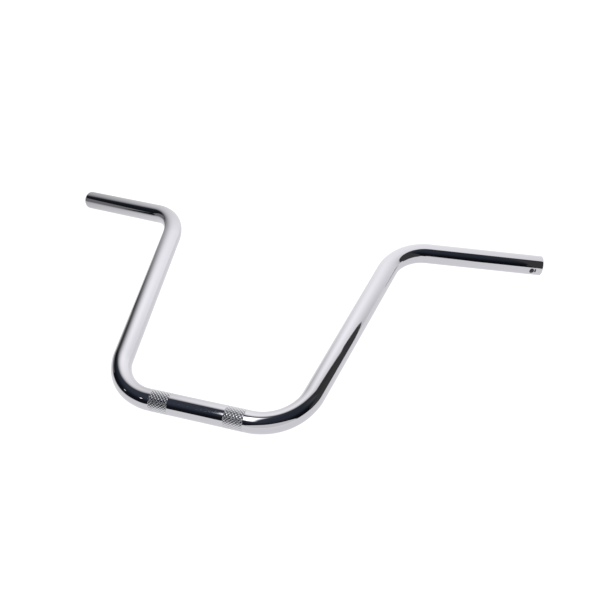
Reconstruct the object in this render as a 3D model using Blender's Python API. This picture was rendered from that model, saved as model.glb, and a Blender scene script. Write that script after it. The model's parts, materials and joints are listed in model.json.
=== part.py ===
"""Bare motorcycle handlebar: one bent, chromed steel tube with two knurled clamp bands.

The bar lies on its clamp bands and on the rims of its two ends. X runs across the bar, +Y runs
from the clamp section towards the grips, and +Z is up. The origin is on the surface that the bar
lies on, under the middle of its outline.
"""

import bmesh
import bpy
from math import cos, hypot, pi, radians, sin, tan
from mathutils import Matrix, Vector

MM = 0.001

# Tube stock
TUBE_DIAMETER = 25.4 * MM
TUBE_WALL = 2.4 * MM
END_CHAMFER = 0.5 * MM

# Bent shape. The centreline is laid out as straight lines between corners, which the bends
# then round off. An arm runs outwards, back and up from its lower corner to its upper one.
ARM_SPREAD = 46.5 * MM
ARM_REACH = 300.0 * MM
ARM_LIFT = 31.0 * MM
GRIP_END_X = 339.0 * MM
GRIP_SWEEP = 52.0 * MM
LOWER_BEND_RADIUS = 60.0 * MM
UPPER_BEND_RADIUS = 60.0 * MM

# Knurled bands that the riser clamps grip
BAND_SPACING = 92.0 * MM
BAND_WIDTH = 23.5 * MM
BAND_TO_BEND = 3.5 * MM
BAND_RAISE = 0.15 * MM
BAND_DEPTH = 0.75 * MM
BAND_CHAMFER = 0.15 * MM

# Plugs pushed into the open ends
PLUG_LENGTH = 16.0 * MM
PLUG_CHAMFER = 0.8 * MM

# Between pieces that touch
CLEARANCE = 0.3 * MM

# Fineness of the round shapes
SEGMENTS = 36
BEND_STEP = radians(7.5)
FEWEST_BEND_STEPS = 2
SHARP_ANGLE = radians(40.0)
WELD_DISTANCE = 0.001 * MM
SETTLE_ROUNDS = 6

TUBE_RADIUS = TUBE_DIAMETER / 2
BORE_RADIUS = TUBE_RADIUS - TUBE_WALL
BAND_RADIUS = TUBE_RADIUS + BAND_RAISE
BAND_BORE_RADIUS = TUBE_RADIUS - BAND_DEPTH
SEAT_RADIUS = BAND_BORE_RADIUS - CLEARANCE
SEAT_HALF_WIDTH = BAND_WIDTH / 2 + CLEARANCE
SEAT_OUTER_EDGE = BAND_SPACING / 2 + SEAT_HALF_WIDTH
PLUG_RADIUS = BORE_RADIUS - CLEARANCE
CLAMP_AXIS_Z = BAND_RADIUS * cos(pi / SEGMENTS)


def clear_scene():
    """Remove every object that the file opened with."""
    for obj in list(bpy.data.objects):
        bpy.data.objects.remove(obj, do_unlink=True)


def make_material(name, color, metallic, roughness):
    """Return a Principled BSDF material."""
    material = bpy.data.materials.new(name)
    material.use_nodes = True
    shader = material.node_tree.nodes["Principled BSDF"]
    shader.inputs["Base Color"].default_value = (*color, 1.0)
    shader.inputs["Metallic"].default_value = metallic
    shader.inputs["Roughness"].default_value = roughness
    material.diffuse_color = (*color, 1.0)
    return material


def centreline_corners():
    """Return the corners of the right half of the centreline, from its middle to its end.

    The lower corner is far enough out for its bend to begin just beyond the band.
    The end's height is the one at which its full round, just behind the chamfer, touches the
    same surface as the clamp bands. A few rounds of substitution settle it.
    """
    middle = Vector((0.0, 0.0, CLAMP_AXIS_Z))
    arm = Vector((ARM_SPREAD, ARM_REACH, ARM_LIFT))
    setback = LOWER_BEND_RADIUS * tan(arm.angle(Vector((1.0, 0.0, 0.0))) / 2)
    lower = middle + Vector((SEAT_OUTER_EDGE + BAND_TO_BEND + setback, 0.0, 0.0))
    upper = lower + arm
    end = Vector((GRIP_END_X, ARM_REACH + GRIP_SWEEP, TUBE_RADIUS))
    for _ in range(SETTLE_ROUNDS):
        along = (end - upper).normalized()
        end.z = TUBE_RADIUS * hypot(along.x, along.y) + END_CHAMFER * along.z
    return [middle, lower, upper, end]


def centreline_runs():
    """Return the straight and curved runs of the right half, in order from the middle.

    Each run is a dictionary with its length, its starting frame (a matrix whose X axis is the
    tube's direction) and, for a bend, the bend's centre, axis and radius.
    """
    middle, lower, upper, end = centreline_corners()
    bends = ((lower, upper, LOWER_BEND_RADIUS), (upper, end, UPPER_BEND_RADIUS))
    frame = Matrix.Translation(middle)
    direction = (lower - middle).normalized()
    runs = []
    for corner, following, radius in bends:
        outgoing = (following - corner).normalized()
        angle = direction.angle(outgoing)
        setback = radius * tan(angle / 2)
        start = corner - direction * setback
        runs.append({"length": (start - frame.translation).length, "frame": frame.copy()})
        frame.translation = start
        axis = direction.cross(outgoing).normalized()
        centre = start + axis.cross(direction) * radius
        run = {"length": radius * angle, "frame": frame.copy()}
        run.update({"centre": centre, "axis": axis, "radius": radius})
        runs.append(run)
        frame = turned_about(centre, axis, angle) @ frame
        direction = outgoing
    runs.append({"length": (end - frame.translation).length, "frame": frame.copy()})
    return runs


def turned_about(centre, axis, angle):
    """Return the matrix that turns the world about an axis through a point."""
    there = Matrix.Translation(centre)
    return there @ Matrix.Rotation(angle, 4, axis) @ there.inverted()


def frame_at(runs, distance):
    """Return the tube's frame at a signed distance from the middle of the bar.

    The left half is the mirror image of the right half, so its frame is mirrored in X.
    """
    gone = abs(distance)
    for run in runs:
        if gone <= run["length"] or run is runs[-1]:
            break
        gone -= run["length"]
    if "radius" in run:
        frame = turned_about(run["centre"], run["axis"], gone / run["radius"]) @ run["frame"]
    else:
        frame = run["frame"] @ Matrix.Translation((gone, 0.0, 0.0))
    if distance < 0:
        mirror = Matrix.Diagonal((-1.0, 1.0, 1.0, 1.0))
        frame = mirror @ frame
    return frame


def half_length(runs):
    """Return the length of the right half of the centreline."""
    return sum(run["length"] for run in runs)


def bend_stations(runs):
    """Return the distances from the middle at which a bend needs a ring, for the right half."""
    stations = []
    begin = 0.0
    for run in runs:
        if "radius" in run:
            steps = round(run["length"] / run["radius"] / BEND_STEP)
            steps = max(FEWEST_BEND_STEPS, steps)
            stations += [begin + run["length"] * step / steps for step in range(steps + 1)]
        begin += run["length"]
    return stations


def outer_profile(runs):
    """Return (distance, radius) pairs of the tube's outside, from the left end to the right."""
    end = half_length(runs)
    seat_inner_edge = BAND_SPACING / 2 - SEAT_HALF_WIDTH
    seat = [(seat_inner_edge, TUBE_RADIUS), (seat_inner_edge, SEAT_RADIUS)]
    seat += [(SEAT_OUTER_EDGE, SEAT_RADIUS), (SEAT_OUTER_EDGE, TUBE_RADIUS)]
    bends = [(station, TUBE_RADIUS) for station in bend_stations(runs)]
    rim = [(end - END_CHAMFER, TUBE_RADIUS), (end, TUBE_RADIUS - END_CHAMFER)]
    right = seat + bends + rim
    left = [(-distance, radius) for distance, radius in reversed(right)]
    return left + right


def inner_profile(runs):
    """Return (distance, radius) pairs of the tube's bore, from the right end to the left."""
    end = half_length(runs)
    stations = bend_stations(runs) + [end]
    right = [(station, BORE_RADIUS) for station in reversed(stations)]
    left = [(-distance, radius) for distance, radius in reversed(right)]
    return right + left


def ring(bm, frame, radius):
    """Add one ring of vertices around the tube, with a flat facing straight down."""
    verts = []
    for index in range(SEGMENTS):
        angle = 2 * pi * (index + 0.5) / SEGMENTS
        spoke = Vector((0.0, sin(angle), -cos(angle))) * radius
        verts.append(bm.verts.new(frame @ spoke))
    return verts


def finish(name, bm, material):
    """Turn a bmesh into a named object with smooth round faces and sharp edges."""
    bmesh.ops.recalc_face_normals(bm, faces=bm.faces)
    for face in bm.faces:
        face.smooth = True
    for edge in bm.edges:
        edge.smooth = edge.calc_face_angle(0.0) < SHARP_ANGLE
    mesh = bpy.data.meshes.new(name)
    bm.to_mesh(mesh)
    bm.free()
    mesh.materials.append(material)
    obj = bpy.data.objects.new(name, mesh)
    bpy.context.scene.collection.objects.link(obj)
    return obj


def make_tube(runs, material):
    """Sweep the wall of the tube along the centreline as one closed solid."""
    bm = bmesh.new()
    profile = outer_profile(runs) + inner_profile(runs)
    rings = [ring(bm, frame_at(runs, distance), radius) for distance, radius in profile]
    for near, far in zip(rings, rings[1:] + rings[:1]):
        for index in range(SEGMENTS):
            after = (index + 1) % SEGMENTS
            bm.faces.new((near[index], near[after], far[after], far[index]))
    return finish("bar_tube", bm, material)


def turn_on_lathe(name, outline, closed, material):
    """Spin an outline of (x, radius) points about the X axis into a closed solid."""
    bm = bmesh.new()
    first = Matrix.Rotation(pi / SEGMENTS, 3, "X")
    verts = [bm.verts.new(first @ Vector((x, 0.0, -radius))) for x, radius in outline]
    edges = [bm.edges.new(pair) for pair in zip(verts, verts[1:])]
    if closed:
        edges.append(bm.edges.new((verts[-1], verts[0])))
    turn = {"axis": (1, 0, 0), "cent": (0, 0, 0), "angle": 2 * pi, "steps": SEGMENTS}
    bmesh.ops.spin(bm, geom=verts + edges, use_merge=True, **turn)
    bmesh.ops.remove_doubles(bm, verts=bm.verts, dist=WELD_DISTANCE)
    return finish(name, bm, material)


def make_band(name, side, parent, material):
    """Make the knurled ring that one riser clamp grips, in its seat on the clamp section."""
    half = BAND_WIDTH / 2
    edge = BAND_RADIUS - BAND_CHAMFER
    outline = [(-half, BAND_BORE_RADIUS), (-half, edge), (BAND_CHAMFER - half, BAND_RADIUS)]
    outline += [(half - BAND_CHAMFER, BAND_RADIUS), (half, edge), (half, BAND_BORE_RADIUS)]
    band = turn_on_lathe(name, outline, True, material)
    band.parent = parent
    band.location = (side * BAND_SPACING / 2, 0.0, CLAMP_AXIS_Z)
    return band


def make_plug(name, side, runs, parent, material):
    """Make the round plug that closes one end of the tube, flush with the end's rim."""
    outline = [(-PLUG_LENGTH, 0.0), (-PLUG_LENGTH, PLUG_RADIUS - PLUG_CHAMFER)]
    outline += [(PLUG_CHAMFER - PLUG_LENGTH, PLUG_RADIUS), (0.0, PLUG_RADIUS), (0.0, 0.0)]
    plug = turn_on_lathe(name, outline, False, material)
    end = frame_at(runs, side * half_length(runs))
    outward = (end.to_3x3() @ Vector((1.0, 0.0, 0.0))).normalized()
    plug.parent = parent
    plug.location = end.translation
    plug.rotation_mode = "QUATERNION"
    plug.rotation_quaternion = outward.to_track_quat("X", "Z")
    return plug


def depth_middle(runs):
    """Return Y halfway between the clamp bands' front and the far edge of the bar's ends."""
    end = frame_at(runs, half_length(runs))
    along = end.to_3x3() @ Vector((1.0, 0.0, 0.0))
    edge = TUBE_RADIUS * hypot(along.x, along.z) - END_CHAMFER * along.y
    return (end.translation.y + edge - BAND_RADIUS) / 2


def main():
    """Build the handlebar."""
    clear_scene()
    chrome = make_material("chrome_plated_steel", (0.80, 0.80, 0.83), 1.0, 0.06)
    knurled = make_material("knurled_chrome", (0.66, 0.66, 0.70), 1.0, 0.28)
    plastic = make_material("black_polyethylene", (0.02, 0.02, 0.022), 0.0, 0.45)
    runs = centreline_runs()
    root = bpy.data.objects.new("handlebar", None)
    root.location = (0.0, -depth_middle(runs), 0.0)
    bpy.context.scene.collection.objects.link(root)
    tube = make_tube(runs, chrome)
    tube.parent = root
    for word, side in (("left", -1), ("right", 1)):
        make_band(word + "_clamp_knurl", side, root, knurled)
        make_plug(word + "_end_plug", side, runs, root, plastic)


main()
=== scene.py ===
"""Chromed motorcycle handlebar, lying on a light table in a plain studio."""

import json
import math

import bpy
import numpy as np
from mathutils import Matrix, Vector


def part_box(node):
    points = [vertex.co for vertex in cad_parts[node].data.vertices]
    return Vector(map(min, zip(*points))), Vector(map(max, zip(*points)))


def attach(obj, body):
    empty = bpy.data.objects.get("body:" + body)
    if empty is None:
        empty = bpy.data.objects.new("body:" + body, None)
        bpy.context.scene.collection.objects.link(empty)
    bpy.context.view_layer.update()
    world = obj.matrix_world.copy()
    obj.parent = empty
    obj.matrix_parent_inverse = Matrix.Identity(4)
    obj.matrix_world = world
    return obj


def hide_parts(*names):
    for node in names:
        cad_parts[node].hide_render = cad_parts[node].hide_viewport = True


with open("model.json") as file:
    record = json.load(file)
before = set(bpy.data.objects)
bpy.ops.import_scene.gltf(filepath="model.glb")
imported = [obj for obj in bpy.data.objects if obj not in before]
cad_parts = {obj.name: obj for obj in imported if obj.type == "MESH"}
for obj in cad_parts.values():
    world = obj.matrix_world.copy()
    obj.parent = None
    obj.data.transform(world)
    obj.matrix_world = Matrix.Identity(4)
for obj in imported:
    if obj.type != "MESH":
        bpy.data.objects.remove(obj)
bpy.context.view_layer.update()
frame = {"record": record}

MM = 0.001
MOUNTS = {mount["name"]: mount for mount in frame["record"]["mounts"]}

# The bar's shape, with the same driving sizes as the CAD
TUBE_RADIUS = 12.7 * MM
BORE_RADIUS = 10.3 * MM
ARM = (46.5 * MM, 300.0 * MM, 31.0 * MM)
BEND_RADIUS = 60.0 * MM
BAND_SPACING = 92.0 * MM
BAND_WIDTH = 23.5 * MM
# Straight tube between a band's outer edge and the bend: 3.5 mm plus the CAD seat's 0.3 mm gap
BAND_TO_BEND = 3.8 * MM

# A bend presses the tube a little flat across its own plane
BEND_FLATTENING = 0.035
FLATTENING_RUN_IN = 16.0 * MM

# Fineness of the tube's surface
AROUND = 128
STEP_IN_BEND = 1.0 * MM
STEP_IN_STRAIGHT = 4.0 * MM
BORE_STEP = 8.0 * MM
RIM_ROUNDING = 0.86 * MM
RIM_STEPS = 5

# Diamond knurl, rolled into the tube. The real diamonds are about 2.5 mm across, too fine to
# show when the whole bar is in view, so they are drawn coarser, 4 mm across (20 round the tube)
KNURL_TEETH = 20
KNURL_SAMPLES = 16
# Its crests stand a little proud of the tube and are slightly domed. A groove begins at the
# crest fraction of the way from a diamond's middle to the groove's bottom
KNURL_RAISE = 0.10 * MM
KNURL_DEPTH = 0.38 * MM
KNURL_DOME = 0.03 * MM
KNURL_CREST = 0.56
KNURL_RUN_OUT = 0.4 * MM
# The band's hidden underside lies this deep in its seat, with this gap. The lip is an extra ring
# beside the seat, which keeps the seat's sharp corner from shading the smooth tube next to it
BAND_SINK = 0.6 * MM
BAND_GAP = 0.02 * MM
LIP = 0.12 * MM

# End plug's profile: (depth behind the rim, radius) in millimetres, from the face to the tail
PLUG_FACE = ((0.9, 0.0), (0.9, 0.6), (0.6, 0.9), (0.6, 1.3), (0.9, 1.6), (0.9, 6.4), (0.7, 7.0),
             (0.1, 7.6), (0.0, 7.9), (0.0, 9.3), (0.1, 9.7), (0.4, 9.9))
PLUG_RIB = ((0.0, 9.7), (0.6, 10.2), (1.0, 10.2), (2.2, 9.7))
PLUG_RIB_STARTS = (3.0, 6.5, 10.0)
PLUG_TAIL = ((14.8, 9.4), (15.6, 8.9), (15.9, 8.4), (15.9, 0.0))

# Inspection stamp near the right end: two plain shapes, by their place, size and squareness
STAMP_DOT = {"from_end": 14.0 * MM, "around": math.radians(279.0), "half_length": 2.9 * MM,
             "half_width": 3.8 * MM, "squareness": 2.0}
STAMP_BAR = {"from_end": 9.6 * MM, "around": math.radians(275.0), "half_length": 1.0 * MM,
             "half_width": 2.6 * MM, "squareness": 4.0}
STAMP_CORNERS = 48
# The film's rings: fraction of the outline, and height above the chrome in millimetres
STAMP_FILM = ((0.3, 0.03), (0.7, 0.03), (0.92, 0.03), (1.0, 0.015), (1.0, -0.03), (0.5, -0.03))

# Chrome: sRGB tone, painted shade tone at the groove bottoms, lowest and highest roughness, wave
# height
DECORATIVE_CHROME = ("CAC9CE", "CAC9CE", 0.025, 0.06, 0.02 * MM)
KNURL_CHROME_AND_GROOVE_SHADE = ("D2D2D6", "28282C", 0.03, 0.07, 0.0)
# Belt-polishing marks: length along the tube, and width round it
POLISH_LINE = (40.0 * MM, 0.4 * MM)
POLISH_WAVE = (62.5 * MM, 12.5 * MM)
# Painted groove shade: it is full this far below the tube's surface, and gone this far below it
FULL_GROOVE_SHADE_DEPTH = 0.36 * MM
NO_GROOVE_SHADE_DEPTH = 0.10 * MM

# Moulded plug and stamping ink: tones, roughness, and their grain per metre
PLUG_TONE = "1B1C1E"
PLUG_ROUGHNESS = (0.38, 0.52)
PLUG_PITS_PER_METRE = 6500.0
PLUG_PIT_DEPTH = 0.03 * MM
INK_TONES = ("111216", "3A3A42")
INK_ROUGHNESS = 0.6
INK_BLOTCHES_PER_METRE = 1500.0

# Light table. The chrome sees it dimmer than a direct look does, and dimmer still to the left
FLOOR_HALF_SIZE = 8.0
TABLE_TONE = "6E6E6E"
TABLE_FADE = (-0.75, -0.15)
TABLE_GLOW = (0.15, 0.89)

# Sheets that only the chrome sees: two feet on the floor in metres, then their top edges
PAPER_TONE = "FEFEFF"
WALL_FEET = ((-1.0, 0.294), (1.2, 0.294))
WALL_HEIGHT = 2.2
FRONT_CARD_FEET = ((-0.05, -0.45), (0.62, -0.45))
FRONT_CARD_HEIGHT = 0.19
FRONT_CARD_ARCH = 0.6
FRONT_CARD_GLOW = 0.85
LEFT_CARD_FEET = ((-0.8, -0.11), (-0.8, 0.45))
LEFT_CARD_HEIGHT = 0.20
LEFT_CARD_GLOW = 0.22
DARK_CARD_FEET = ((0.473, 0.13), (0.60, -0.20))
DARK_CARD_EDGE = ((-0.20, 0.50), (0.05, 0.34), (1, 0.15))
DARK_CARD_GLOW = 0.06

# Light on the wall. Each edge: its lean, where the light ends, and where it is full
WALL_LEFT_EDGE = (0.242, -0.81, 0.20)
WALL_RIGHT_EDGE = (0.70, 1.18, 1.05)
WALL_TOP_EDGE = (-0.17, 1.847, 0.438)
# Its strength at the wall's foot where X is 0, its change per metre across and up, and its least
WALL_LIGHT = 1.30
WALL_LIGHT_ACROSS = -0.72
WALL_LIGHT_UP = 0.206
WALL_LEAST_LIGHT = 0.05

# Dim room. Bearings are degrees from +Y towards +X, and heights are degrees above the horizon
ROOM_TONE = "1E2229"
ROOM_HEIGHTS = (20.0, 58.0)
ROOM_LIGHT = (0.45, 2.4)
ROOM_LEFT_SIDE = (0.2, -0.2)
ROOM_LEFT_GAIN = 1.45
PALE_LEFT_EDGE = (30.0, 50.0)
PALE_RIGHT_EDGE = (100.0, 70.0)
PALE_TOP_EDGE = (75.0, 45.0)
PALE_LIGHT = 0.045
# Two far lamps: bearing, height and strength, and the angles where one ends and where it is full
LAMPS = ((-114.8, 22.8, 1.4), (-137.8, 38.6, 3.0))
LAMP_EDGE = (2.4, 1.0)

# Strip softbox on a ceiling one metre up: where each edge ends and where it is full
STRIP_LIGHT = 3.2
STRIP_SLANT = -0.14
STRIP_LEFT_EDGE = (-0.345, -0.325)
STRIP_RIGHT_EDGE = (-0.12, -0.27)
STRIP_FRONT_EDGE = (-0.75, -0.50)
STRIP_BACK_EDGE = (0.20, 0.0)
# A direction that rises less than this counts as rising this much, so the ceiling stays finite
CEILING_LIMIT = 0.05

# Wide soft light over the table
TOP_LIGHT_WATTS = 30.0
TOP_LIGHT_SIZE = 3.0
TOP_LIGHT_HEIGHT = 2.4

# The camera stands in front, right and above, and leans a little
CAMERA_PLACE = Vector((0.33513, -0.68561, 0.68677))
CAMERA_BEARING = math.radians(-21.548)
CAMERA_DOWN = math.radians(41.135)
CAMERA_LEAN = math.radians(-4.781)
CAMERA_LENS = 47.53
CAMERA_SENSOR = 36.0


# ---------------------------------------------------------------- the bar's centreline


def unit(vector):
    """Return the vector at length one."""
    return vector / np.linalg.norm(vector)


def turn(vectors, axis, angles):
    """Turn vectors about a unit axis by angles, by Rodrigues' formula.

    v cos a + (k x v) sin a + k (k . v)(1 - cos a), for each row.
    """
    angles = np.asarray(angles, float)[:, None]
    vectors = np.atleast_2d(vectors)
    along = axis * (vectors @ axis)[:, None]
    crossed = np.cross(axis, vectors)
    return vectors * np.cos(angles) + crossed * np.sin(angles) + along * (1 - np.cos(angles))


def centreline_runs():
    """Return the straight and curved runs of the right half, from the middle to the end.

    A run has its first distance, length, starting place and axes (along, down and back, as
    rows). A bend also has its centre, turning axis, radius and the angle at which its centre
    lies around the tube.
    """
    low, high = (np.array(corner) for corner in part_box("left_clamp_knurl"))
    middle = (low + high) / 2 * np.array([0.0, 1.0, 1.0])
    setback = BEND_RADIUS * math.tan(math.acos(unit(np.array(ARM))[0]) / 2)
    straight = BAND_SPACING / 2 + BAND_WIDTH / 2 + BAND_TO_BEND
    lower = middle + np.array([straight + setback, 0.0, 0.0])
    upper = lower + np.array(ARM)
    end = np.array(MOUNTS["right_bar_end"]["pos_m"])
    axes = np.array([[1.0, 0.0, 0.0], [0.0, 0.0, -1.0], [0.0, 1.0, 0.0]])
    place = middle
    begin = 0.0
    runs = []
    for corner, following in ((lower, upper), (upper, end)):
        along = axes[0]
        outgoing = unit(following - corner)
        angle = math.acos(float(along @ outgoing))
        start = corner - along * BEND_RADIUS * math.tan(angle / 2)
        length = float(np.linalg.norm(start - place))
        runs.append({"begin": begin, "length": length, "place": place, "axes": axes})
        begin += length
        pivot = unit(np.cross(along, outgoing))
        to_centre = np.cross(pivot, along)
        bend = {"begin": begin, "length": BEND_RADIUS * angle, "place": start, "axes": axes}
        bend["centre"] = start + to_centre * BEND_RADIUS
        bend["pivot"] = pivot
        bend["inward"] = math.atan2(float(to_centre @ axes[2]), float(to_centre @ axes[1]))
        runs.append(bend)
        begin += bend["length"]
        turned = turn(start - bend["centre"], pivot, [angle])[0]
        place = bend["centre"] + turned
        axes = turn(axes, pivot, [angle] * 3)
    length = float(np.linalg.norm(end - place))
    runs.append({"begin": begin, "length": length, "place": place, "axes": axes})
    return runs


RUNS = centreline_runs()
HALF_LENGTH = RUNS[-1]["begin"] + RUNS[-1]["length"]


def smooth(values):
    """Ease from 0 to 1 with level ends: t squared times (3 - 2t)."""
    values = np.clip(values, 0.0, 1.0)
    return values * values * (3 - 2 * values)


def centreline(distance):
    """Return places, down axes, back axes, flattening and inward angle along the bar.

    On a straight run the place moves along the run. In a bend it and the axes turn about the
    bend's centre by the distance over the radius. The left half is the mirror image in X.
    """
    distance = np.asarray(distance, float)
    left = np.abs(distance)
    place = np.zeros((len(left), 3))
    down = np.zeros_like(place)
    back = np.zeros_like(place)
    flat = np.zeros(len(left))
    inward = np.zeros(len(left))
    for run in RUNS:
        last = run is RUNS[-1]
        inside = (left >= run["begin"]) & ((left < run["begin"] + run["length"]) | last)
        gone = left[inside] - run["begin"]
        along, start_down, start_back = run["axes"]
        if "centre" in run:
            angles = gone / BEND_RADIUS
            spoke = run["place"] - run["centre"]
            place[inside] = run["centre"] + turn(spoke, run["pivot"], angles)
            down[inside] = turn(start_down, run["pivot"], angles)
            back[inside] = turn(start_back, run["pivot"], angles)
            from_ends = np.minimum(gone, run["length"] - gone)
            flat[inside] = BEND_FLATTENING * smooth(from_ends / FLATTENING_RUN_IN)
            inward[inside] = run["inward"]
        else:
            place[inside] = run["place"] + along * gone[:, None]
            down[inside] = start_down
            back[inside] = start_back
    mirror = np.where(distance < 0, -1.0, 1.0)
    for vectors in (place, down, back):
        vectors[:, 0] *= mirror
    return place, down, back, flat, inward


def on_tube(distance, angle, radius):
    """Return surface points for a distance along the bar, an angle around it and a radius.

    The point is the centreline's place plus the radius times (down cos a + back sin a). In a
    bend the radius shrinks by the flattening times the squared cosine from the inward side.
    """
    distance, angle, radius = np.broadcast_arrays(distance, angle, radius)
    place, down, back, flat, inward = centreline(distance.ravel())
    turned = angle.ravel()
    reach = radius.ravel() * (1 - flat * np.cos(turned - inward) ** 2)
    spoke = down * np.cos(turned)[:, None] + back * np.sin(turned)[:, None]
    return (place + spoke * reach[:, None]).reshape(*distance.shape, 3)


def unbent(distance, angle, radius):
    """Return where the same points lay on the straight tube, before it was bent."""
    distance, angle, radius = np.broadcast_arrays(distance, angle, radius)
    straight = (distance, radius * np.sin(angle), -radius * np.cos(angle))
    return np.stack(straight, axis=-1)


# ---------------------------------------------------------------- meshes


def ring_faces(rows, columns, wrap):
    """Return the four-sided faces of a grid whose columns close round, and rows if asked."""
    row = np.arange(rows if wrap else rows - 1)[:, None]
    column = np.arange(columns)[None, :]
    next_row = (row + 1) % rows
    next_column = (column + 1) % columns
    corners = [row * columns + column, row * columns + next_column]
    corners += [next_row * columns + next_column, next_row * columns + column]
    return np.stack(np.broadcast_arrays(*corners), axis=-1).reshape(-1, 4)


def enclosed_volume(verts, faces):
    """Return the signed volume inside a grid: a sixth of the sum of a . (b x c) per triangle."""
    a, b, c, d = (verts[faces[:, corner]] for corner in range(4))
    first = np.einsum("ij,ij->i", a, np.cross(b, c))
    second = np.einsum("ij,ij->i", a, np.cross(c, d))
    return float((first + second).sum()) / 6


def add_piece(name, material, distance, angle, radius, wrap):
    """Make a piece from rings on or in the tube, with its faces outwards and its ends shut.

    Rows are rings. With wrap the last ring joins the first, as on a hollow part. Without it a
    point at the middle of each end ring closes that end.
    """
    points = on_tube(distance, angle, radius)
    straight = unbent(distance, angle, radius)
    rows, columns = points.shape[:2]
    verts = points.reshape(-1, 3)
    rest = straight.reshape(-1, 3)
    faces = ring_faces(rows, columns, wrap)
    caps = []
    if not wrap:
        poles = len(verts) + np.array([0, 1])
        verts = np.concatenate([verts, points[[0, -1]].mean(axis=1)])
        rest = np.concatenate([rest, straight[[0, -1]].mean(axis=1)])
        column = np.arange(columns)
        after = (column + 1) % columns
        first = np.stack([after, column, np.full(columns, poles[0])], axis=1)
        base = (rows - 1) * columns
        final = np.stack([base + column, base + after, np.full(columns, poles[1])], axis=1)
        caps = [first, final]
    if enclosed_volume(verts, faces) < 0:
        faces = faces[:, ::-1]
        caps = [cap[:, ::-1] for cap in caps]
    every_face = faces.tolist()
    for cap in caps:
        every_face += cap.tolist()
    mesh = bpy.data.meshes.new(name)
    mesh.from_pydata(verts.tolist(), [], every_face)
    mesh.polygons.foreach_set("use_smooth", np.ones(len(mesh.polygons), bool))
    field = mesh.attributes.new("unbent", "FLOAT_VECTOR", "POINT")
    field.data.foreach_set("vector", rest.astype(np.float32).ravel())
    mesh.materials.append(material)
    mesh.update()
    piece = bpy.data.objects.new(name, mesh)
    bpy.context.scene.collection.objects.link(piece)
    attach(piece, "root")
    return piece


def angles_around(count):
    """Return evenly spaced angles around the tube, as one row."""
    return np.linspace(0.0, 2 * math.pi, count, endpoint=False)[None, :]


def half_stations(bend_step, straight_step):
    """Return distances from the middle to the end, closer together in the bends."""
    stations = []
    for run in RUNS:
        step = bend_step if "centre" in run else straight_step
        count = max(1, math.ceil(run["length"] / step))
        stations.append(run["begin"] + run["length"] * np.arange(count) / count)
    return np.concatenate(stations + [np.array([HALF_LENGTH])])


def mirrored_profile(distance, radius):
    """Return a right half's rings as a whole bar's, from the left end to the right."""
    both = np.concatenate([-distance[::-1], distance])
    return both, np.concatenate([radius[::-1], radius])


# ---------------------------------------------------------------- materials


def linear(hex_color):
    """Return a linear colour with full alpha from an sRGB hex value such as "D9D9E1"."""
    coded = np.array([int(hex_color[place:place + 2], 16) for place in (0, 2, 4)]) / 255
    curve = ((coded + 0.055) / 1.055) ** 2.4
    return (*np.where(coded <= 0.04045, coded / 12.92, curve).tolist(), 1.0)


def node(tree, kind, inputs=None, **settings):
    """Add a node, apply its settings, and set or link its inputs by name or number."""
    added = tree.nodes.new(kind)
    for name, value in settings.items():
        setattr(added, name, value)
    for name, value in (inputs or {}).items():
        socket = added.inputs[name]
        if isinstance(value, bpy.types.NodeSocket):
            tree.links.new(value, socket)
        else:
            socket.default_value = value
    return added


def new_material(name):
    """Return an empty node material, its tree and its output node."""
    material = bpy.data.materials.new(name)
    material.use_nodes = True
    tree = material.node_tree
    tree.nodes.clear()
    return material, tree, tree.nodes.new("ShaderNodeOutputMaterial")


def ease(tree, value, low, high, to_low=0.0, to_high=1.0):
    """Add a smooth step of a value between two limits, and return its output."""
    made = node(tree, "ShaderNodeMapRange", {
        "Value": value, "From Min": low, "From Max": high, "To Min": to_low,
        "To Max": to_high}, interpolation_type="SMOOTHSTEP")
    return made.outputs[0]


def maths(tree, operation, first, second=0.0):
    """Add one sum and return its output."""
    return node(tree, "ShaderNodeMath", {0: first, 1: second}, operation=operation).outputs[0]


def product(tree, first, *others):
    """Multiply several values and return the output."""
    for other in others:
        first = maths(tree, "MULTIPLY", first, other)
    return first


def place_on_tube(tree):
    """Return the place a point had on the straight tube, so that patterns follow the bends."""
    return node(tree, "ShaderNodeAttribute", attribute_name="unbent").outputs["Vector"]


def stretched(tree, place, length, width):
    """Scale a place on the tube so that one unit is a mark's length along it and width round it."""
    scale = (1 / length, 1 / width, 1 / width)
    return node(tree, "ShaderNodeMapping", {"Vector": place, "Scale": scale}).outputs[0]


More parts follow.
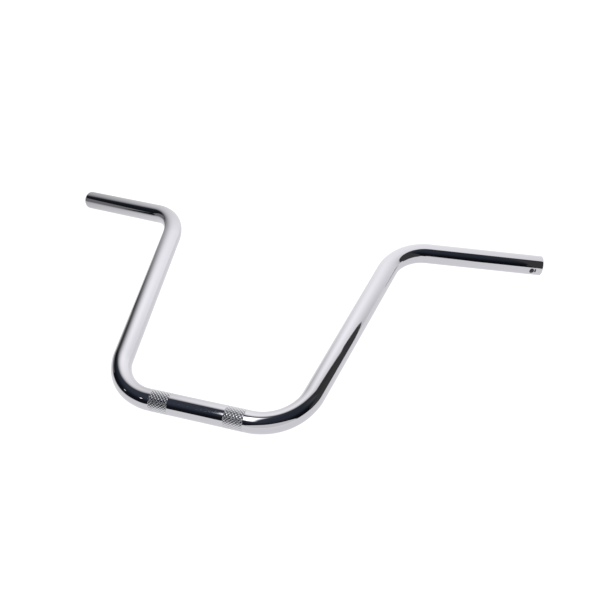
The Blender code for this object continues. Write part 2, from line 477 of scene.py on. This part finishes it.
def chrome_plate(name, tone, groove_shade_tone, smoothest, roughest, wave_height):
    """Bright decorative chrome on a belt-polished steel tube.

    Chrome is a slightly blue-grey mirror. Polishing belts leave very faint lines along the
    tube and slow waves across it, so its reflections have soft, slightly uneven borders.
    Painted shade darkens the base colour towards the bottoms of rolled grooves.
    """
    material, tree, output = new_material(name)
    rest = place_on_tube(tree)
    lines = node(tree, "ShaderNodeTexNoise", {
        "Vector": stretched(tree, rest, *POLISH_LINE), "Scale": 1.0, "Detail": 2.0,
        "Roughness": 0.6})
    waves = node(tree, "ShaderNodeTexNoise", {
        "Vector": stretched(tree, rest, *POLISH_WAVE), "Scale": 1.0, "Detail": 1.0,
        "Roughness": 0.4})
    rough = node(tree, "ShaderNodeMapRange", {
        "Value": lines.outputs[0], "From Min": 0.35, "From Max": 0.65,
        "To Min": smoothest, "To Max": roughest})
    bump = node(tree, "ShaderNodeBump", {
        "Height": waves.outputs[0], "Strength": 1.0, "Distance": wave_height})
    across = node(tree, "ShaderNodeVectorMath", {0: rest, 1: (0.0, 1.0, 1.0)},
                  operation="MULTIPLY")
    off_axis = node(tree, "ShaderNodeVectorMath", {0: across.outputs[0]}, operation="LENGTH")
    # Painted shade: a darker base colour deep in the knurl's grooves, full tone near the surface
    out_of_groove_shade = ease(tree, off_axis.outputs["Value"], TUBE_RADIUS - FULL_GROOVE_SHADE_DEPTH,
                  TUBE_RADIUS - NO_GROOVE_SHADE_DEPTH)
    base = node(tree, "ShaderNodeMix", {
        "Factor": out_of_groove_shade, "A": linear(groove_shade_tone), "B": linear(tone)}, data_type="RGBA")
    shader = node(tree, "ShaderNodeBsdfPrincipled", {
        "Base Color": base.outputs["Result"], "Metallic": 1.0, "Roughness": rough.outputs[0],
        "Normal": bump.outputs[0]})
    tree.links.new(shader.outputs[0], output.inputs["Surface"])
    return material


def moulded_polyethylene(name):
    """Black polyethylene, injection moulded: a soft waxy sheen over a finely eroded face."""
    material, tree, output = new_material(name)
    rest = place_on_tube(tree)
    # The mould's spark-eroded texture has pits about 0.15 mm across
    grain = node(tree, "ShaderNodeTexNoise", {
        "Vector": rest, "Scale": PLUG_PITS_PER_METRE, "Detail": 2.0, "Roughness": 0.6})
    rough = node(tree, "ShaderNodeMapRange", {
        "Value": grain.outputs[0], "From Min": 0.3, "From Max": 0.7,
        "To Min": PLUG_ROUGHNESS[0], "To Max": PLUG_ROUGHNESS[1]})
    bump = node(tree, "ShaderNodeBump", {
        "Height": grain.outputs[0], "Strength": 0.6, "Distance": PLUG_PIT_DEPTH})
    shader = node(tree, "ShaderNodeBsdfPrincipled", {
        "Base Color": linear(PLUG_TONE), "Metallic": 0.0, "Roughness": rough.outputs[0],
        "IOR": 1.51, "Normal": bump.outputs[0]})
    tree.links.new(shader.outputs[0], output.inputs["Surface"])
    return material


def stamping_ink(name):
    """Black stamping ink: a thin matt film, a little uneven where the stamp pressed less."""
    material, tree, output = new_material(name)
    rest = place_on_tube(tree)
    blotch = node(tree, "ShaderNodeTexNoise", {
        "Vector": rest, "Scale": INK_BLOTCHES_PER_METRE, "Detail": 2.0})
    dark, light = (linear(tone) for tone in INK_TONES)
    tint = node(tree, "ShaderNodeMix", {
        "Factor": blotch.outputs[0], "A": dark, "B": light}, data_type="RGBA")
    shader = node(tree, "ShaderNodeBsdfPrincipled", {
        "Base Color": tint.outputs["Result"], "Roughness": INK_ROUGHNESS, "IOR": 1.5})
    tree.links.new(shader.outputs[0], output.inputs["Surface"])
    return material


def light_table(name):
    """White translucent acrylic, lit evenly from below, which drowns the shadows on it.

    A direct look sees even white. What the chrome mirrors is dimmer, and fades to the left.
    """
    material, tree, output = new_material(name)
    at = node(tree, "ShaderNodeTexCoord").outputs["Object"]
    across = node(tree, "ShaderNodeSeparateXYZ", {0: at}).outputs[0]
    path = node(tree, "ShaderNodeLightPath")
    glow = node(tree, "ShaderNodeMapRange", {
        "Value": path.outputs["Is Camera Ray"], "To Max": 1.0,
        "To Min": ease(tree, across, *TABLE_FADE, *TABLE_GLOW)})
    shader = node(tree, "ShaderNodeBsdfPrincipled", {
        "Base Color": linear(TABLE_TONE), "Roughness": 0.7, "IOR": 1.49,
        "Emission Color": linear(PAPER_TONE), "Emission Strength": glow.outputs[0]})
    tree.links.new(shader.outputs[0], output.inputs["Surface"])
    return material


def glowing_paper(name, strength):
    """Pale paper that gives the same light everywhere."""
    material, tree, output = new_material(name)
    shader = node(tree, "ShaderNodeEmission", {"Color": linear(PAPER_TONE), "Strength": strength})
    tree.links.new(shader.outputs[0], output.inputs["Surface"])
    return material


def leaning_edge(tree, value, other, lean, ends, full):
    """Fade a light along one value, whose edge moves by the lean for each metre of the other."""
    leaned = maths(tree, "ADD", value, maths(tree, "MULTIPLY", other, lean))
    return ease(tree, leaned, ends, full)


def lit_wall(name):
    """White paper wall whose glow is a painted spotlight pool: bright low down, fading up and to
    both sides.
    """
    material, tree, output = new_material(name)
    at = node(tree, "ShaderNodeTexCoord").outputs["Object"]
    split = node(tree, "ShaderNodeSeparateXYZ", {0: at})
    across, height = split.outputs[0], split.outputs[2]
    # The left side fades over a metre, the right over an eighth of one, leaning left as it rises
    left = leaning_edge(tree, across, height, *WALL_LEFT_EDGE)
    right = leaning_edge(tree, across, height, *WALL_RIGHT_EDGE)
    top = leaning_edge(tree, height, across, *WALL_TOP_EDGE)
    level = maths(tree, "ADD", maths(tree, "MULTIPLY", across, WALL_LIGHT_ACROSS), WALL_LIGHT)
    level = maths(tree, "ADD", level, maths(tree, "MULTIPLY", height, WALL_LIGHT_UP))
    # Painted light: the wall's glow is shaped as the pool of a spotlight
    light = maths(tree, "ADD", product(tree, left, right, top, level), WALL_LEAST_LIGHT)
    shader = node(tree, "ShaderNodeEmission", {"Color": linear(PAPER_TONE), "Strength": light})
    tree.links.new(shader.outputs[0], output.inputs["Surface"])
    return material


# ---------------------------------------------------------------- pieces


def make_tube(material):
    """Sweep the tube's wall: outside, rounded rims, end faces and bore as one closed surface."""
    stations = half_stations(STEP_IN_BEND, STEP_IN_STRAIGHT)
    near = BAND_SPACING / 2 - BAND_WIDTH / 2 - BAND_GAP
    far = BAND_SPACING / 2 + BAND_WIDTH / 2 + BAND_GAP
    inside = stations[stations < near - LIP]
    outside = stations[(stations > far + LIP) & (stations < HALF_LENGTH - RIM_ROUNDING)]
    lips = [near - LIP, near, near, far, far, far + LIP]
    distance = np.concatenate([inside, lips, outside])
    radius = np.full(len(distance), TUBE_RADIUS)
    # The third and fourth lips are the seat's two bottom corners, under the knurled band
    radius[len(inside) + 2:len(inside) + 4] = TUBE_RADIUS - BAND_SINK - BAND_GAP
    turned = np.linspace(0.0, math.pi / 2, RIM_STEPS)
    rim_distance = HALF_LENGTH - RIM_ROUNDING * (1 - np.sin(turned))
    rim_radius = TUBE_RADIUS - RIM_ROUNDING * (1 - np.cos(turned))
    distance = np.concatenate([distance, rim_distance])
    radius = np.concatenate([radius, rim_radius])
    keep = distance > 0
    distance, radius = mirrored_profile(distance[keep], radius[keep])
    bore = half_stations(BORE_STEP, BORE_STEP)
    bore, bore_radius = mirrored_profile(bore[bore > 0], np.full(np.sum(bore > 0), BORE_RADIUS))
    distance = np.concatenate([distance, bore[::-1]])[:, None]
    radius = np.concatenate([radius, bore_radius])[:, None]
    angle = angles_around(AROUND)
    tube = add_piece("chromed_tube", material, distance, angle, radius, True)
    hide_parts("bar_tube")


def make_knurl(side, word, material):
    """Roll a diamond knurl into one clamp band.

    Two families of V grooves run round the tube as opposite helices. A groove's depth falls
    in a straight line from its bottom to its crest, the deeper of the two counts, each crest
    is slightly domed, and the pattern fades out over a fraction of a millimetre at each edge.
    """
    pitch = 2 * math.pi * TUBE_RADIUS / KNURL_TEETH
    count = int(BAND_WIDTH / pitch * KNURL_SAMPLES)
    along = (np.arange(count + 1) - count / 2) * pitch / KNURL_SAMPLES
    along = np.concatenate([[-BAND_WIDTH / 2], along[1:-1], [BAND_WIDTH / 2]])[:, None]
    angle = angles_around(KNURL_TEETH * KNURL_SAMPLES)
    round_teeth = angle / (2 * math.pi) * KNURL_TEETH
    first = np.abs(2 * np.mod(round_teeth + along / pitch, 1.0) - 1)
    second = np.abs(2 * np.mod(round_teeth - along / pitch, 1.0) - 1)
    off_crest = np.maximum(first, second)
    groove = np.clip((off_crest - KNURL_CREST) / (1 - KNURL_CREST), 0.0, 1.0)
    depth = KNURL_DEPTH * groove + KNURL_DOME * off_crest ** 2
    fade = smooth((BAND_WIDTH / 2 - np.abs(along)) / KNURL_RUN_OUT)
    outer = TUBE_RADIUS + (KNURL_RAISE - depth) * fade
    inner = np.full_like(outer[:1], TUBE_RADIUS - BAND_SINK)
    radius = np.concatenate([inner, outer, inner])
    distance = side * BAND_SPACING / 2 + np.concatenate([along[:1], along, along[-1:]])
    name = word + "_rolled_knurl"
    knurl = add_piece(name, material, distance, angle, radius, True)
    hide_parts(word + "_clamp_knurl")


def make_plug(side, word, material):
    """Turn one end plug: a dished face with a gate mark, and three sealing ribs on its shank.

    The profile's corners are turned round the tube's axis, and its first and last, on the
    axis, become the two closing points.
    """
    ribs = [(begin + depth, radius) for begin in PLUG_RIB_STARTS for depth, radius in PLUG_RIB]
    corners = np.array([*PLUG_FACE, *ribs, *PLUG_TAIL])[1:-1] * MM
    distance = side * (HALF_LENGTH - corners[:, :1])
    angle = angles_around(AROUND)
    name = word + "_moulded_plug"
    plug = add_piece(name, material, distance, angle, corners[:, 1:], False)
    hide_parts(word + "_end_plug")


def make_mark(name, material, from_end, around, half_length, half_width, squareness):
    """Print one plain shape of the inspection stamp, as a thin film on the tube.

    The outline is a superellipse: |x / a| to the power n plus |y / b| to the power n is 1. The
    film climbs from just under the chrome to its full thickness close to the outline.
    """
    turned = angles_around(STAMP_CORNERS)
    power = 2.0 / squareness
    across = np.sign(np.cos(turned)) * np.abs(np.cos(turned)) ** power
    rising = np.sign(np.sin(turned)) * np.abs(np.sin(turned)) ** power
    size, lift = np.array(STAMP_FILM).T[:, :, None]
    lift = lift * MM
    distance = HALF_LENGTH - from_end + half_length * size * across
    angle = around + half_width * size * rising / TUBE_RADIUS
    return add_piece(name, material, distance, angle, TUBE_RADIUS + lift, False)


# ---------------------------------------------------------------- studio


def make_stage(name, corners, material):
    """Make one flat sheet of the studio from the corners of its outline, in order."""
    mesh = bpy.data.meshes.new(name)
    mesh.from_pydata(corners, [], [tuple(range(len(corners)))])
    mesh.materials.append(material)
    sheet = bpy.data.objects.new(name, mesh)
    bpy.context.scene.collection.objects.link(sheet)
    return sheet


def make_sheet(name, feet, edge, material):
    """Stand a sheet between two floor points. Only the chrome sees it.

    Its top edge is pairs: the fraction of the way along, and the height there.
    """
    foot = np.array([corner + (0.0,) for corner in feet])
    along, height = np.array(edge).T[:, ::-1]
    top = foot[:1] + (foot[1:] - foot[:1]) * along[:, None]
    top[:, 2] = height
    sheet = make_stage(name, foot.tolist() + top.tolist(), material)
    sheet.visible_camera = False
    sheet.visible_diffuse = False
    sheet.visible_shadow = False


def level_edge(height):
    """Return a top edge that is level from one end to the other."""
    return ((0, height), (1, height))


def make_set():
    """Lay the light table, and stand the lit wall and three cards round it."""
    size = FLOOR_HALF_SIZE
    corners = [(-size, -size, 0), (size, -size, 0), (size, size, 0), (-size, size, 0)]
    make_stage("light_table", corners, light_table("lit_white_acrylic"))
    along = np.linspace(0.0, 1.0, 25)[1:-1]
    arch = FRONT_CARD_HEIGHT * np.sin(math.pi * along) ** FRONT_CARD_ARCH
    make_sheet("lit_wall", WALL_FEET, level_edge(WALL_HEIGHT), lit_wall("lit_paper_wall"))
    make_sheet("front_card", FRONT_CARD_FEET, np.stack([along, arch], axis=1),
               glowing_paper("white_card", FRONT_CARD_GLOW))
    make_sheet("left_card", LEFT_CARD_FEET, level_edge(LEFT_CARD_HEIGHT),
               glowing_paper("grey_card", LEFT_CARD_GLOW))
    make_sheet("dark_card", DARK_CARD_FEET, DARK_CARD_EDGE,
               glowing_paper("black_card", DARK_CARD_GLOW))


def direction(bearing, height):
    """Return the unit vector of a bearing and a height in degrees."""
    bearing, height = math.radians(bearing), math.radians(height)
    level = math.cos(height)
    return (level * math.sin(bearing), level * math.cos(bearing), math.sin(height))


def make_room():
    """Light the dim room: a faint ceiling, a strip softbox overhead and two far lamps.

    Bearings are degrees from +Y towards +X, and heights are degrees above the horizon.
    """
    world = bpy.data.worlds.new("studio_room")
    bpy.context.scene.world = world
    world.use_nodes = True
    tree = world.node_tree
    tree.nodes.clear()
    aim = node(tree, "ShaderNodeTexCoord").outputs["Generated"]
    split = node(tree, "ShaderNodeSeparateXYZ", {0: aim})
    x, y, z = split.outputs
    to_degrees = 180 / math.pi
    bearing = maths(tree, "MULTIPLY", maths(tree, "ARCTAN2", x, y), to_degrees)
    height = maths(tree, "MULTIPLY", maths(tree, "ARCSINE", z), to_degrees)

    # The room is bluish, and a little lighter overhead and to the left
    dimness = product(tree, ease(tree, height, *ROOM_HEIGHTS, *ROOM_LIGHT),
                      ease(tree, x, *ROOM_LEFT_SIDE, 1.0, ROOM_LEFT_GAIN))
    # Behind the wall's right edge a paler part of the room shows
    pale = product(tree, ease(tree, bearing, *PALE_LEFT_EDGE),
                   ease(tree, bearing, *PALE_RIGHT_EDGE),
                   ease(tree, height, *PALE_TOP_EDGE, 0.0, PALE_LIGHT))
    # Strip softbox: its place on a ceiling one metre up, seen from the bar
    rise = maths(tree, "MAXIMUM", z, CEILING_LIMIT)
    ceiling_x = maths(tree, "DIVIDE", x, rise)
    ceiling_y = maths(tree, "DIVIDE", y, rise)
    strip = product(tree, leaning_edge(tree, ceiling_x, ceiling_y, STRIP_SLANT, *STRIP_LEFT_EDGE),
                    ease(tree, ceiling_x, *STRIP_RIGHT_EDGE),
                    ease(tree, ceiling_y, *STRIP_FRONT_EDGE),
                    ease(tree, ceiling_y, *STRIP_BACK_EDGE), STRIP_LIGHT)
    light = maths(tree, "ADD", pale, strip)
    ends, full = (math.cos(math.radians(degrees)) for degrees in LAMP_EDGE)
    for bearing_of, height_of, strength in LAMPS:
        facing = node(tree, "ShaderNodeVectorMath", {
            0: aim, 1: direction(bearing_of, height_of)}, operation="DOT_PRODUCT")
        spot = ease(tree, facing.outputs["Value"], ends, full, 0.0, strength)
        light = maths(tree, "ADD", light, spot)

    room = node(tree, "ShaderNodeBackground", {"Color": linear(ROOM_TONE), "Strength": dimness})
    white = node(tree, "ShaderNodeBackground", {"Color": linear(PAPER_TONE), "Strength": light})
    seen = node(tree, "ShaderNodeBackground", {"Color": linear("FFFFFF"), "Strength": 1.0})
    lit = node(tree, "ShaderNodeAddShader", {0: room.outputs[0], 1: white.outputs[0]})
    path = node(tree, "ShaderNodeLightPath")
    mixed = node(tree, "ShaderNodeMixShader", {
        0: path.outputs["Is Camera Ray"], 1: lit.outputs[0], 2: seen.outputs[0]})
    output = node(tree, "ShaderNodeOutputWorld")
    tree.links.new(mixed.outputs[0], output.inputs["Surface"])


def make_top_light():
    """Hang a wide soft light over the table, which the chrome itself doesn't mirror."""
    lamp = bpy.data.lights.new("top_light", "AREA")
    lamp.shape = "SQUARE"
    lamp.size = TOP_LIGHT_SIZE
    lamp.energy = TOP_LIGHT_WATTS
    light = bpy.data.objects.new("top_light", lamp)
    light.location = (0.0, 0.0, TOP_LIGHT_HEIGHT)
    light.visible_glossy = False
    light.visible_camera = False
    bpy.context.scene.collection.objects.link(light)


def make_camera():
    """Place the camera by its bearing, downward tilt and lean."""
    view = bpy.data.cameras.new("camera")
    view.lens = CAMERA_LENS
    view.sensor_width = CAMERA_SENSOR
    camera = bpy.data.objects.new("camera", view)
    heading = Matrix.Rotation(-CAMERA_BEARING, 4, "Z")
    tilt = Matrix.Rotation(math.pi / 2 - CAMERA_DOWN, 4, "X")
    lean = Matrix.Rotation(CAMERA_LEAN, 4, "Z")
    camera.matrix_world = Matrix.Translation(CAMERA_PLACE) @ heading @ tilt @ lean
    bpy.context.scene.collection.objects.link(camera)
    bpy.context.scene.camera = camera


def main():
    """Dress the frame, light it, and set the camera."""
    chrome = chrome_plate("decorative_chrome", *DECORATIVE_CHROME)
    rolled = chrome_plate("rolled_knurl_chrome_groove_shade", *KNURL_CHROME_AND_GROOVE_SHADE)
    plastic = moulded_polyethylene("moulded_polyethylene")
    ink = stamping_ink("stamping_ink")
    make_tube(chrome)
    for word, side in (("left", -1), ("right", 1)):
        make_knurl(side, word, rolled)
        make_plug(side, word, plastic)
    make_mark("stamp_dot", ink, **STAMP_DOT)
    make_mark("stamp_bar", ink, **STAMP_BAR)
    make_set()
    make_room()
    make_top_light()
    make_camera()
    bpy.context.scene.view_settings.view_transform = "Standard"


main()
